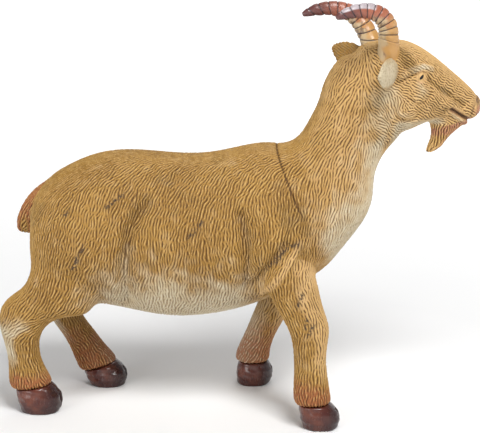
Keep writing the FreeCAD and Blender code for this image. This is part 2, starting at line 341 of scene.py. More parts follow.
def rough_skin():
    mesh = outer_skin(remeshed(joined_nodes(COAT_NODES, SWELL), ROUGH_VOXEL))
    points = points_of(mesh) - normals_of(mesh) * SWELL
    edges = edges_of(mesh)
    body = np.maximum(closeness(points, "trunk_shell", 5 * MM),
                      closeness(points, "head_neck_shell", 5 * MM))
    limbs = closeness(points, "tail", 4 * MM)
    for name in LEG_NODES:
        limbs = np.maximum(limbs, closeness(points, name, 7 * MM))
    joint = smoothstep(0.15, 0.8, np.sqrt(body * limbs))
    behind, _, above = head_coordinates(points)
    nape = bell(np.hypot(behind - 66, above - 14), 26) * 0.8
    points = smoothed(points, edges, np.clip(joint * 0.9 + nape * 0.6 + 0.1, 0, 0.95), 14)
    set_points(mesh, points)
    points = sculpt_body(points, normals_of(mesh))
    points = smoothed(points, edges, np.full(len(points), 0.5), 2)
    set_points(mesh, points)
    return mesh


def fine_skin(rough):
    mesh = remeshed(rough, SKIN_VOXEL)
    set_points(mesh, smoothed(points_of(mesh), edges_of(mesh), 0.5, 6))
    return mesh


def nearest_nodes(points, names):
    """The index of the CAD node nearest to each point; points far from any limb get 0."""
    near = np.zeros(len(points), bool)
    for name in names[2:]:
        low, high = BOX[name]
        near |= np.all((points > low - 3 * MM) & (points < high + 3 * MM), axis=1)
    corners, faces, owner = [], [], []
    for index, name in enumerate(names):
        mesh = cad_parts[name].data
        base = len(corners)
        corners.extend(node_points(name).tolist())
        faces.extend([base + i for i in face.vertices] for face in mesh.polygons)
        owner.extend([index] * len(mesh.polygons))
    tree = BVHTree.FromPolygons(corners, faces)
    result = np.zeros(len(points), int)
    for index in np.flatnonzero(near):
        result[index] = owner[tree.find_nearest(Vector(points[index]))[2]]
    return result


# ---- the seam between the trunk and the neck
SEAM_NORMAL = unit(np.array([77.0, 0.0, 33.5]))
SEAM_AT = (node_points("trunk_shell") @ SEAM_NORMAL).max()


def seam_distance(points):
    """How far each point lies ahead of the seam's plane."""
    return points @ SEAM_NORMAL - SEAM_AT


# ---- the face
EYE = (45.7, 14.8, 20.2)
EYE_SLIT = (1.9 * MM, 0.85 * MM, 6.0 * MM)   # half its length, half its height and how deep it reaches


def ring_field(points, place, radius, width):
    """A soft ring in millimetres round a place on the head and round its mirror image."""
    total = np.zeros(len(points))
    for side in (-1.0, 1.0):
        centre = mirrored(place, side)
        distance = np.linalg.norm(points - centre, axis=1)
        total += bell(distance - radius * MM, width * MM)
    return np.minimum(total, 1.0)


def ball_field(points, place, radius):
    return ring_field(points, place, 0.0, radius)


def face_line(points, stations, width):
    """Closeness to a line through these places on the head, on both of its sides."""
    total = np.zeros(len(points))
    for side in (-1.0, 1.0):
        path = [mirrored(place, side) for place in stations]
        total = np.maximum(total, bell(path_distance(points, path), width * MM))
    return total


MOUTH = [(22.8, 7.6, -1.1), (17.1, 5.4, -4.5), (11.8, 3.6, -7.5), (8.6, 1.6, -8.4), (8.0, 0.0, -8.5),
         (8.0, -HEAD_MIDDLE, -8.6)]
LOWER_LIP = [(21.0, 7.0, -5.0), (15.0, 4.6, -8.6), (10.5, 2.4, -10.8), (9.5, 0.0, -11.2),
             (9.5, -HEAD_MIDDLE, -11.3)]
BROW = [(59.6, 14.4, 21.0), (52.0, 14.6, 24.2), (44.7, 13.7, 26.3), (39.0, 12.0, 24.6)]
TEMPLE = [(60.0, 11.0, 40.0), (55.0, 13.0, 31.0), (52.0, 15.0, 25.5)]
UNDER_BROW = [(60.0, 15.0, 17.8), (54.0, 15.4, 20.6), (49.5, 15.2, 22.2)]
BRIDGE = [(38.0, 7.5, 25.0), (24.0, 5.5, 14.8), (8.0, 3.8, 5.6)]
SNOUT_HOLLOW = [(40.0, 12.2, 18.0), (33.0, 10.2, 12.6), (23.5, 8.2, 7.4), (13.5, 6.4, 0.8)]
POUCH = (46.5, 14.6, 11.6)
CHEEK = (53.5, 14.6, 1.5)
NOSTRIL = (3.6, 4.2, 3.4)
NOSE_CREASE = [(6.6, 5.4, -0.6), (7.2, 4.8, -4.0), (8.0, 2.8, -6.8)]
JAW = [(58.0, 12.5, -3.5), (42.0, 9.5, -5.0), (28.0, 6.5, -7.5)]
CHEEKBONE = [(38.0, 11.5, 7.6), (30.0, 9.8, 3.6), (24.0, 8.6, 2.0)]


FACE_SHAPES = [    # height in millimetres, region, kind of shape and where it is
    (-1.8, "face", ball_field, EYE, 6.0),
    (1.9, "face", ball_field, EYE, 2.8),
    (0.9, "over the eye", ring_field, EYE, 3.8, 0.7),
    (0.5, "under the eye", ring_field, EYE, 3.9, 0.6),
    (2.0, "face", face_line, BROW, 2.0),
    (-1.2, "face", face_line, UNDER_BROW, 1.1),
    (1.0, "face", face_line, BRIDGE, 3.0),
    (-1.9, "face", face_line, SNOUT_HOLLOW, 2.4),
    (1.5, "face", ball_field, POUCH, 6.0),
    (-1.3, "below the pouch", ring_field, POUCH, 7.6, 1.0),
    (1.5, "face", ball_field, CHEEK, 6.5),
    (-1.0, "below the cheek", ring_field, CHEEK, 8.2, 1.3),
    (0.6, "below the cheek", ring_field, CHEEK, 11.0, 1.4),
    (1.4, "face", face_line, CHEEKBONE, 2.6),
    (0.8, "face", face_line, JAW, 2.8),
    (-1.8, "face", ball_field, NOSTRIL, 1.5),
    (0.8, "face", ring_field, NOSTRIL, 2.5, 0.8),
    (-1.0, "face", face_line, NOSE_CREASE, 0.9),
    (0.9, "face", face_line, MOUTH, 2.6),
    (1.2, "face", face_line, LOWER_LIP, 1.7),
    (-3.0, "face", face_line, MOUTH, 1.1),
]


def lip_line(points):
    """The dark paint in the mouth and the nostrils, over the unsculpted face."""
    return np.maximum.reduce([face_line(points, MOUTH, 0.9), ball_field(points, NOSTRIL, 2.6),
                              0.8 * face_line(points, NOSE_CREASE, 0.7)])


def sculpt_face(points, normals):
    behind, _, above = head_coordinates(points)
    amount = 1.1 * ball_field(points, (2.4, 2.6, -4.5), 4.0)
    amount -= 1.3 * smoothstep(-24.0, -31.0, above) * smoothstep(50.0, 45.0, behind)
    amount += 1.2 * np.maximum(closeness(points, "right_horn", 2.6 * MM),
                               closeness(points, "left_horn", 2.6 * MM))
    share = {
        "face": 1.0,
        "over the eye": smoothstep(-1.0, 1.5, above - EYE[2]),
        "under the eye": smoothstep(1.0, -1.5, above - EYE[2]),
        "below the pouch": smoothstep(3.0, -3.0, above - POUCH[2] + 0.5 * (behind - POUCH[0])),
        "below the cheek": smoothstep(2.0, -4.0, above - CHEEK[2] - 0.4 * (behind - CHEEK[0])),
    }
    for height, region, shape, *where in FACE_SHAPES:
        amount += height * shape(points, *where) * share[region]
    return push_along(points, normals, amount * MM)


# ---- hair
def waves(points, length, count=5):
    """Smooth noise from -1 to 1 with this wavelength in metres."""
    total = np.zeros(len(points))
    for _ in range(count):
        way = unit(random.normal(size=3)) * FULL_TURN / (length * random.uniform(0.7, 1.5))
        total += np.sin(points @ way + random.uniform(0.0, FULL_TURN))
    return total / count * 1.6


def leg_line(name):
    """The middles of the slices of a leg, from the ground up."""
    points = node_points(name)
    heights = np.linspace(points[:, 2].min(), points[:, 2].max(), 9)
    middles = []
    for low, high in zip(heights[:-1], heights[1:]):
        inside = points[(points[:, 2] >= low) & (points[:, 2] <= high)]
        middles.append((inside.min(axis=0) + inside.max(axis=0)) / 2)
    return np.array(middles)


def leg_directions(points, name):
    middles = leg_line(name)
    runs = unit(np.diff(middles, axis=0))
    heights = (middles[1:, 2] + middles[:-1, 2]) / 2
    return np.column_stack([np.interp(points[:, 2], heights, runs[:, axis]) for axis in range(3)])


def box_shares(points, name):
    """Shares of the way through a node's box, along x, y and z."""
    low, high = BOX[name]
    return ((points - low) / (high - low)).T


def blended(base, other, weight):
    return base * (1.0 - weight[:, None]) + other * weight[:, None]


def head_vector(forward, left, up):
    return HEAD_FORWARD * forward + HEAD_LEFT * left + np.array([0.0, 0.0, up])


def lie_of_hair(points, normals, owner):
    """The direction in which the hair lies at each point."""
    along, _, up = box_shares(points, "trunk_shell")
    slant = 0.10 + 0.75 * smoothstep(0.70, 1.0, up)
    slant += 0.45 * smoothstep(0.34, 0.05, along) * smoothstep(0.25, 0.8, up)
    way = np.column_stack([-slant, np.zeros(len(points)), -np.ones(len(points))])
    neck = smoothstep(-4 * MM, 14 * MM, seam_distance(points))
    way = blended(way, np.array([[-0.32, 0.0, -1.0]]), neck)
    for index, name in enumerate(COAT_NODES):
        if name in LEG_NODES:
            top = BOX[name][1][2]
            own = (owner == index) * smoothstep(0.0, 22 * MM, top - points[:, 2])
            way = blended(way, -leg_directions(points, name), own)
        if name == "tail":
            way = blended(way, np.array([[-0.45, 0.0, -1.0]]), (owner == index) * 1.0)
    behind, side, above = head_coordinates(points)
    face = smoothstep(88.0, 70.0, behind) * smoothstep(-22.0, -6.0, above + 0.10 * behind)
    way = blended(way, head_vector(0.82, 0.0, -0.5)[None], face)
    for mirror in (-1.0, 1.0):
        centre = mirrored(CHEEK, mirror)
        away = points - centre
        round_it = unit(np.cross(away, HEAD_LEFT))
        near = bell(np.linalg.norm(away, axis=1), 15 * MM) * ((side - HEAD_MIDDLE) * mirror > 0)
        lower_back = 0.7 * (behind - CHEEK[0]) - 0.7 * (above - CHEEK[2])
        near *= smoothstep(-4.0, 5.0, lower_back)
        way = blended(way, round_it, np.clip(near * 1.3, 0, 1))
    beard = beard_share(points)
    way = blended(way, head_vector(-0.15, 0.0, -1.0)[None], beard)
    way = way - normals * np.sum(way * normals, axis=1)[:, None]
    weak = np.linalg.norm(way, axis=1) < 0.05
    way[weak] = np.cross(normals[weak], [0.0, 1.0, 0.0])
    return unit(way)


def face_share(points, rear, front):
    """0 behind the rear distance and under the jaw, 1 before the front distance."""
    behind, _, above = head_coordinates(points)
    return smoothstep(rear, front, behind) * smoothstep(-25.0, -8.0, above + 0.10 * behind)


def beard_share(points):
    behind, _, above = head_coordinates(points)
    return smoothstep(-9.5, -13.0, above) * smoothstep(50.0, 42.0, behind)


def hair_height(points, owner):
    """How deep the strokes are, as a share of the full height."""
    behind, _, above = head_coordinates(points)
    amount = np.ones(len(points))
    for index, name in enumerate(COAT_NODES):
        if name in LEG_NODES:
            share = box_shares(points, name)[2]
            amount = np.where(owner == index, 0.85 + 0.15 * smoothstep(0.0, 0.9, share), amount)
    amount *= 1.0 - 0.05 * face_share(points, 84.0, 62.0)
    muzzle = smoothstep(40.0, 24.0, behind) * smoothstep(-12.0, -8.0, above)
    amount *= 1.0 - 0.15 * muzzle
    bare = np.maximum.reduce([
        face_line(points, MOUTH, 2.4),
        ball_field(points, EYE, 3.6),
        ball_field(points, (1.5, 3.5, 2.0), 6.5),
        ball_field(points, (1.5, -HEAD_MIDDLE, 2.0), 6.5),
    ])
    amount *= 1.0 - smoothstep(0.1, 0.6, bare)
    amount = np.maximum(amount, 1.3 * beard_share(points))
    return amount


def comb(points, normals, edges, owner):
    """Combed ridges over the skin, tuft by tuft: their height from 0 to 1 and the tone of the tufts."""
    way = lie_of_hair(points, normals, owner)
    turn = 0.18 * waves(points, 34 * MM) + 0.20 * waves(points, 12 * MM)
    wobble = STROKE_WOBBLE * waves(points, 5.5 * MM, 7)
    tree = kdtree.KDTree(len(points))
    for index, point in enumerate(points):
        tree.insert(point, index)
    tree.balance()
    on_face = face_share(points, 86.0, 66.0)
    field = np.zeros(len(points))
    tone = np.zeros(len(points))
    weight = np.full(len(points), 1e-6)
    taken = np.zeros(len(points), bool)
    jitter = random.normal(size=len(points)) * 2.5 * MM
    order = np.argsort(-points[:, 2] + 0.3 * points[:, 0] + jitter)
    for index in order:
        if taken[index]:
            continue
        scale = 1.0 - 0.12 * on_face[index]
        reach = TUFT_REACH * scale * random.uniform(0.8, 1.25)
        breadth = TUFT_BREADTH * scale
        rate = FULL_TURN / (STROKE_PITCH * scale * random.uniform(0.92, 1.10))
        angle = turn[index] + random.normal() * TUFT_TURN
        bend = random.normal() * TUFT_BEND
        lift = random.uniform(0.7, 1.1)
        shade = random.uniform(-1.0, 1.0)
        start = random.uniform(0.0, FULL_TURN)
        normal = normals[index]
        ahead = way[index] * math.cos(angle) + np.cross(normal, way[index]) * math.sin(angle)
        across = np.cross(normal, ahead)
        near = np.array([item[1] for item in tree.find_range(points[index], 1.5 * reach)])
        away = points[near] - points[index]
        run = away @ ahead
        side = away @ across
        facing = normals[near] @ normal > 0.2
        room = (run / (TUFT_ROOM[0] * reach)) ** 2 + (side / (TUFT_ROOM[1] * breadth)) ** 2
        taken[near[(room < 1.0) & facing]] = True
        taken[index] = True
        share = np.exp(-(run / reach) ** 2 * TUFT_FADE[0] - (side / breadth) ** 2 * TUFT_FADE[1]) * facing
        swing = rate * (side + wobble[near] - bend * run * run)
        level, lean = np.cos(swing), np.sin(swing)
        before = field[near] * share
        match = before @ level, before @ lean
        if math.hypot(*match) > 1e-4:
            start = math.atan2(match[1], match[0]) + random.normal() * TUFT_SLIP
        field[near] += share * lift * (level * math.cos(start) + lean * math.sin(start))
        tone[near] += share * shade
        weight[near] += share
    field /= weight
    power = smoothed(field[:, None] ** 2, edges, 0.6, 12)[:, 0]
    field /= np.sqrt(2.0 * power + 0.01)
    height = np.clip(0.5 + 0.5 * field, 0.0, 1.0)
    return height ** 0.75, np.clip(1.6 * tone / weight, -1.0, 1.0)


# ---- where each colour of paint goes
def coat_masks(points, normals, owner):
    """Shares of each paint over the coat, as one array per vertex attribute."""
    along, _, up = box_shares(points, "trunk_shell")
    behind, side, above = head_coordinates(points)
    blotch = waves(points, 22 * MM) * 0.5 + waves(points, 9 * MM) * 0.35
    on_neck = smoothstep(-4 * MM, 10 * MM, seam_distance(points))
    name_of = np.array(COAT_NODES)[owner]
    on_leg = np.isin(name_of, LEG_NODES)

    belly = smoothstep(0.52, 0.02, up + 0.10 * blotch) * smoothstep(0.10, 0.36, along)
    belly *= smoothstep(0.84, 0.66, along) * (1.0 - on_neck)
    throat = smoothstep(-0.15, 0.75, -normals[:, 2] + 0.6 * normals[:, 0] + 0.25 * blotch)
    throat *= smoothstep(60.0, 72.0, behind) * smoothstep(-2.0, -20.0, above) * on_neck
    beside = smoothstep(8.0, 14.0, np.abs(side))
    behind_cheek = bell(np.hypot(behind - 68.0, above + 6.0), 13.0) * beside
    under_ear = bell(np.hypot(behind - 70.0, above - 8.0), 12.0) * beside
    jaw = smoothstep(-4.0, -10.0, above) * smoothstep(66.0, 58.0, behind) * smoothstep(20.0, 30.0, behind)
    # Cream paint on the belly, throat, jaw, behind the cheeks, under the ears, on the pouches, the lower
    # lip and the rear of the hind legs, and a painted highlight along the brow ridge.
    cream_and_brow_highlight = np.maximum.reduce([
        belly, throat * 0.85, behind_cheek * 0.8, under_ear * 0.8,
        0.75 * jaw * (1.0 - beard_share(points)),
        0.9 * face_line(points, BROW, 1.8),
        0.5 * ball_field(points, POUCH, 5.5),
        0.45 * face_line(points, LOWER_LIP, 1.4),
    ])

    rust = np.zeros(len(points))
    painted_light = np.zeros(len(points))
    for name in LEG_NODES:
        share = box_shares(points, name)[2]
        reach = 0.50 if "left" in name else 0.27
        rust = np.where(name_of == name, smoothstep(reach, 0.0, share + 0.06 * blotch), rust)
        middles = leg_line(name)
        to_rear = (np.interp(points[:, 2], middles[:, 2], middles[:, 0]) - points[:, 0]) / MM
        if "hind" in name:
            rear = smoothstep(0.0, 7.0, to_rear + 3.0 * blotch) * smoothstep(0.10, 0.35, share)
            rear *= smoothstep(0.66, 0.46, share)
            cream_and_brow_highlight = np.where(name_of == name, np.maximum(cream_and_brow_highlight, 0.75 * rear), cream_and_brow_highlight)
        else:
            front = smoothstep(-2.0, 8.0, 3.0 * blotch - to_rear) * smoothstep(0.05, 0.3, share)
            # Painted light: the front of each front leg is painted paler, where light falls on it.
            painted_light = np.where(name_of == name, 0.8 * front, painted_light)
    tail_edge = (name_of == "tail") * smoothstep(-0.1, 0.7, -normals[:, 0] + 0.2 * blotch)
    rust = np.maximum(rust, 0.9 * tail_edge)

    # Olive paint in random patches on the trunk and neck, a strip on each temple and a spot behind the
    # mouth; and painted shade in the thigh crease, under the brow, under the bridge of the nose and under
    # the cheeks.
    olive_and_painted_shade = smoothstep(0.12, 0.62, waves(points, 40 * MM) * 0.6 + blotch * 0.5) * 0.6
    olive_and_painted_shade *= smoothstep(70.0, 92.0, behind)
    olive_and_painted_shade = np.maximum.reduce([
        olive_and_painted_shade,
        0.6 * flank_line(points, THIGH_CREASE, 8.0) * (np.abs(normals[:, 1]) > 0.3),
        face_line(points, TEMPLE, 5.0),
        0.85 * face_line(points, SNOUT_HOLLOW, 2.2),
        0.75 * face_line(points, UNDER_BROW, 1.3),
        0.45 * ring_field(points, CHEEK, 8.2, 1.8) * (above < CHEEK[2]),
        0.75 * ball_field(points, (27.0, 8.6, -1.5), 3.0),
    ])
    olive_and_painted_shade *= 1.0 - 0.8 * on_leg

    chin = smoothstep(-4.0, -9.0, above + 0.25 * behind) * smoothstep(38.0, 30.0, behind)
    pink = np.maximum.reduce([
        0.6 * face_line(points, MOUTH, 2.0),
        0.4 * ring_field(points, EYE, 3.6, 0.8),
        ball_field(points, (3.0, 2.5, -3.0), 4.2),
        ball_field(points, (3.0, -HEAD_MIDDLE, -3.0), 4.2),
        chin * smoothstep(-23.0, -15.0, above),
        0.7 * smoothstep(0.1, 0.8, normals[:, 0]) * beard_share(points),
    ])

    flank = smoothstep(0.3, 0.7, np.abs(normals[:, 1]))
    # Painted shade: darker paint along the thigh, shoulder and elbow creases, where shade falls.
    painted_crease_shade = np.maximum.reduce([
        0.8 * flank_line(points, THIGH_CREASE, 3.4),
        1.0 * flank_line(points, SHOULDER_CREASE, 2.8),
        1.0 * flank_line(points, ELBOW_CREASE, 2.6),
    ]) * flank
    # Painted light: paler paint on the fronts of the front legs, the elbow ridge, the face and the lower
    # front of the chest, where light falls.
    painted_light = np.maximum.reduce([
        painted_light,
        flank_line(points, ELBOW_RIDGE, 3.0) * flank,
        smoothstep(84.0, 52.0, behind) * smoothstep(-30.0, -12.0, above),
        0.6 * smoothstep(0.80, 1.05, along) * smoothstep(0.0, 0.3, up),
    ])
    return {"cream_and_brow_highlight": cream_and_brow_highlight, "rust": rust, "olive_and_painted_shade": olive_and_painted_shade, "pink": pink,
            "painted_crease_shade": painted_crease_shade, "painted_light": painted_light}


# ---- cutting the skin into one piece for each moulding
def settled(owner, edges):
    """Owners with smooth borders and no islands."""
    shares = (owner[:, None] == np.arange(len(COAT_NODES))).astype(float)
    return np.argmax(smoothed(shares, edges, 0.8, 8), axis=1)


def face_corners(mesh):
    """The numbers of the vertices round each face."""
    starts = np.empty(len(mesh.polygons), int)
    counts = np.empty(len(mesh.polygons), int)
    mesh.polygons.foreach_get("loop_start", starts)
    mesh.polygons.foreach_get("loop_total", counts)
    corners = np.empty(len(mesh.loops), int)
    mesh.loops.foreach_get("vertex_index", corners)
    return [corners[start:start + count] for start, count in zip(starts, counts)]


def rim_loops(faces):
    """Loops of edges that belong to one face only, each a list of (from, to)."""
    edges = {(int(a), int(b)) for face in faces for a, b in zip(face, np.roll(face, -1))}
    onward = {}
    for start, end in edges:
        if (end, start) not in edges:
            onward.setdefault(start, []).append(end)
    loops = []
    while onward:
        first = next(iter(onward))
        loop, here = [], first
        while here in onward:
            ends = onward[here]
            after = ends.pop()
            if not ends:
                del onward[here]
            loop.append((here, after))
            here = after
        loops.append(loop)
    return loops


def add_values(mesh, values):
    for key, value in values.items():
        layer = mesh.attributes.new(key, "FLOAT", "POINT")
        layer.data.foreach_set("value", value.astype(np.float32))


def cut_piece(name, faces, points, normals, values):
    """One moulding's share of the skin, closed inside by a fan over each rim."""
    used = np.unique(np.concatenate(faces))
    place = np.full(len(points), -1)
    place[used] = np.arange(len(used))
    local = [place[face] for face in faces]
    corners = points[used].tolist()
    directions = normals[used].tolist()
    lists = [face.tolist() for face in local]
    for loop in rim_loops(local):
        rim = [start for start, _ in loop]
        middle = np.mean([corners[i] for i in rim], axis=0)
        inward = -np.mean([directions[i] for i in rim], axis=0)
        corners.append((middle + inward * MM).tolist())
        directions.append((-inward).tolist())
        hub = len(corners) - 1
        lists.extend([end, start, hub] for start, end in loop)
    mesh = bpy.data.meshes.new(name)
    mesh.from_pydata(corners, [], lists)
    spare = len(corners) - len(used)
    add_values(mesh, {key: np.append(value[used], np.zeros(spare)) for key, value in values.items()})
    mesh.shade_smooth()
    mesh.normals_split_custom_set_from_vertices(directions)
    return linked(name, mesh)


# ---- horns, hooves and ears
def small_skin(name, rounds=4):
    mesh = remeshed(joined_nodes([name]), SMALL_VOXEL)
    set_points(mesh, smoothed(points_of(mesh), edges_of(mesh), 0.5, rounds))
    return mesh


def small_piece(name, mesh, values):
    add_values(mesh, values)
    mesh.shade_smooth()
    return linked(name + "_piece", mesh)


def arc_centre(points):
    """Centre of the circle that fits these points best in the upright plane."""
    x, z = points[:, 0], points[:, 2]
    terms = np.column_stack([2 * x, 2 * z, np.ones(len(x))])
    answer, *_ = np.linalg.lstsq(terms, x ** 2 + z ** 2, rcond=None)
    return answer[:2]


HORN_RING_ANGLE = math.radians(15.0)


def make_horn(name):
    mesh = small_skin(name)
    points, normals = points_of(mesh), normals_of(mesh)
    centre = arc_centre(node_points(name))
    across = points[:, 0] - centre[0]
    up = points[:, 2] - centre[1]
    angle = np.arctan2(up, across)
    radius = np.hypot(across, up)
    along = np.clip(angle / angle.max(), -0.2, 1.0)   # 0 at the root, 1 at the tip
    wobble = waves(points, 20 * MM) * 0.04
    count = angle / HORN_RING_ANGLE + wobble
    off = np.abs(count - np.round(count)) * HORN_RING_ANGLE * radius
    groove = bell(off, 0.42 * MM) * smoothstep(-0.25, 0.02, along) * smoothstep(1.0, 0.93, along)
    swell = (np.cos(FULL_TURN * count) * -0.5 + 0.5) * smoothstep(-0.1, 0.05, along)
    amount = 0.14 * swell - 0.5 * groove + 0.12 * waves(points, 5 * MM)
    set_points(mesh, push_along(points, normals, amount * MM * smoothstep(1.0, 0.85, along)))
    outward = np.cos(angle) * normals[:, 0] + np.sin(angle) * normals[:, 2]
    blotch = 0.25 * waves(points, 6 * MM)
    # Painted highlight: a pale lilac sheen on the outer face of the near horn, from its middle towards its
    # tip.
    painted_horn_highlight = smoothstep(0.05, 0.6, outward + blotch) * smoothstep(0.42, 0.55, along)
    painted_horn_highlight *= smoothstep(0.97, 0.88, along) * (name == "right_horn")
    pale = smoothstep(-0.35, 0.25, -outward + blotch) * smoothstep(0.62, 0.35, along)
    return small_piece(name, mesh, {"along": along, "ring": groove, "painted_horn_highlight": painted_horn_highlight, "pale": pale})


def make_hoof(name):
    mesh = small_skin(name, rounds=7)
    points, normals = points_of(mesh), normals_of(mesh)
    toe, _, height = box_shares(points, name)
    wall = smoothstep(0.2, 0.6, 1.0 - np.abs(normals[:, 2]))
    lines = np.sin(height * 30.0 + 0.6 * waves(points, 12 * MM)) * 0.10
    band = bell(height - 0.86, 0.09) * 0.5
    dents = 0.22 * waves(points, 6 * MM)
    set_points(mesh, push_along(points, normals, (lines + band + dents) * wall * MM))
    return small_piece(name, mesh, {"height": height, "toe": toe})


EAR_STROKE_PITCH = 1.5 * MM


def make_ear(name, stroke_depth):
    """An ear, with lengthwise strokes of this depth on it in millimetres."""
    mesh = small_skin(name)
    points, normals = points_of(mesh), normals_of(mesh)
    spread = points - points.mean(axis=0)
    main, breadth, _ = np.linalg.svd(spread, full_matrices=False)[2]
    if main[1] * (points[:, 1].mean() - MIDDLE_Y) < 0:
        main = -main
    along = spread @ main
    along = (along - along.min()) / (along.max() - along.min())
    off = spread @ breadth / EAR_STROKE_PITCH + 0.35 * waves(points, 9 * MM)
    stroke = np.abs(np.sin(off * math.pi + 0.8 * np.sin(along * 9.0)))
    amount = (stroke - 0.6) * stroke_depth + 0.1 * waves(points, 6 * MM)
    set_points(mesh, push_along(points, normals, amount * MM))
    ridge = 0.75 + (stroke - 0.75) * np.clip(stroke_depth * 1.6, 0, 1)
    across = np.abs(spread @ breadth)
    rim = smoothstep(0.55, 1.0, across / across.max() + 0.15 * waves(points, 5 * MM))
    return small_piece(name, mesh, {"along": along, "ridge": ridge, "rim": rim})


# ---- paint
PAINT_SHARE = 0.70   # the studio's light on a wall facing it lifts a paint by about the inverse of this


def colour(red, green, blue):
    """The paint that looks like this colour, given from 0 to 255, in the studio's light."""
    shares = [value / 255.0 for value in (red, green, blue)]
    lights = [v / 12.92 if v <= 0.04045 else ((v + 0.055) / 1.055) ** 2.4 for v in shares]
    return (*[light * PAINT_SHARE for light in lights], 1.0)


OCHRE = colour(163, 121, 54)
LIGHT_OCHRE = colour(180, 137, 66)
PALE_OCHRE = colour(228, 186, 116)
# Painted highlight colour for the surfaces that face the light.
PAINTED_LIGHT_TINT = colour(236, 194, 134)
# The dark wash colour in the hair grooves, also used for the painted shade in the flank creases.
GROOVE = colour(84, 50, 14)
CREAM = colour(222, 206, 174)
PALE_CREAM = colour(240, 230, 206)
CREAM_GROOVE = colour(152, 130, 94)
# Olive paint, also used as painted shade in the thigh crease and under the brow, the bridge of the nose and
# the cheeks.
OLIVE_AND_SHADE = colour(136, 102, 44)
RUST = colour(164, 92, 54)
PINK = colour(178, 112, 96)


class Paint:
    """A material's nodes."""

    def __init__(self, name, shine=0.5):
        self.material = bpy.data.materials.new(name)
        self.material.use_nodes = True
        self.tree = self.material.node_tree
        self.shader = self.tree.nodes["Principled BSDF"]
        self.shader.inputs["Specular IOR Level"].default_value = shine
        self.place = self.tree.nodes.new("ShaderNodeTexCoord").outputs["Object"]

    def put(self, socket, value):
        if isinstance(value, bpy.types.NodeSocket):
            self.tree.links.new(value, socket)
        else:
            socket.default_value = value

    def attribute(self, name):
        node = self.tree.nodes.new("ShaderNodeAttribute")
        node.attribute_name = name
        return node.outputs["Fac"]

    def maths(self, operation, first, second=0.0, third=None):
        node = self.tree.nodes.new("ShaderNodeMath")
        node.operation = operation
        self.put(node.inputs[0], first)
        self.put(node.inputs[1], second)
        if third is not None:
            self.put(node.inputs[2], third)
        return node.outputs[0]

    def ramped(self, value, low, high, start=0.0, end=1.0):
        node = self.tree.nodes.new("ShaderNodeMapRange")
        node.interpolation_type = "SMOOTHSTEP"
        for key, number in zip(("Value", "From Min", "From Max", "To Min", "To Max"),
                               (value, low, high, start, end)):
            self.put(node.inputs[key], number)
        return node.outputs["Result"]

    def noise(self, wavelength, detail=3.0, stretch=None):
        """Noise of this size in metres, drawn out by these factors along the axes."""
        place = self.place
        if stretch:
            node = self.tree.nodes.new("ShaderNodeMapping")
            self.put(node.inputs["Vector"], place)
            node.inputs["Scale"].default_value = stretch
            place = node.outputs["Vector"]
        node = self.tree.nodes.new("ShaderNodeTexNoise")
        self.put(node.inputs["Vector"], place)
        node.inputs["Scale"].default_value = 1.0 / wavelength
        node.inputs["Detail"].default_value = detail
        return node.outputs["Fac"]

    def mix(self, share, first, second, mode="MIX"):
        node = self.tree.nodes.new("ShaderNodeMix")
        node.data_type = "RGBA"
        node.blend_type = mode
        self.put(node.inputs["Factor"], share)
        self.put(node.inputs[6], first)
        self.put(node.inputs[7], second)
        return node.outputs[2]

    def shaken(self, value, noise, amount):
        """A value pushed up and down by noise, over a range of this amount."""
        return self.maths("ADD", value, self.maths("MULTIPLY_ADD", noise, amount, -0.5 * amount))

    def over(self, base, share, strength, tint):
        """The base with this much of a tint over it."""
        return self.mix(self.maths("MULTIPLY", share, strength), base, tint)

    def finish(self, base, roughness, height, distance, strength=0.5):
        self.put(self.shader.inputs["Base Color"], base)
        self.put(self.shader.inputs["Roughness"], roughness)
        node = self.tree.nodes.new("ShaderNodeBump")
        node.inputs["Strength"].default_value = strength
        node.inputs["Distance"].default_value = distance
        self.put(node.inputs["Height"], height)
        self.tree.links.new(node.outputs["Normal"], self.shader.inputs["Normal"])
        return self.material


def slit_share(paint, centre, axes, sizes):
    """1 inside an ellipsoid at this place, with these axes and half sizes, and 0 outside it."""
    total = None
    for axis, size in zip(axes, sizes):
        node = paint.tree.nodes.new("ShaderNodeVectorMath")
        node.operation = "DOT_PRODUCT"
        paint.put(node.inputs[0], paint.place)
        node.inputs[1].default_value = axis
        off = paint.maths("SUBTRACT", node.outputs["Value"], float(np.dot(axis, centre)))
        square = paint.maths("POWER", paint.maths("DIVIDE", off, size), 2.0)
        total = square if total is None else paint.maths("ADD", total, square)
    return paint.ramped(total, 1.25, 0.85)


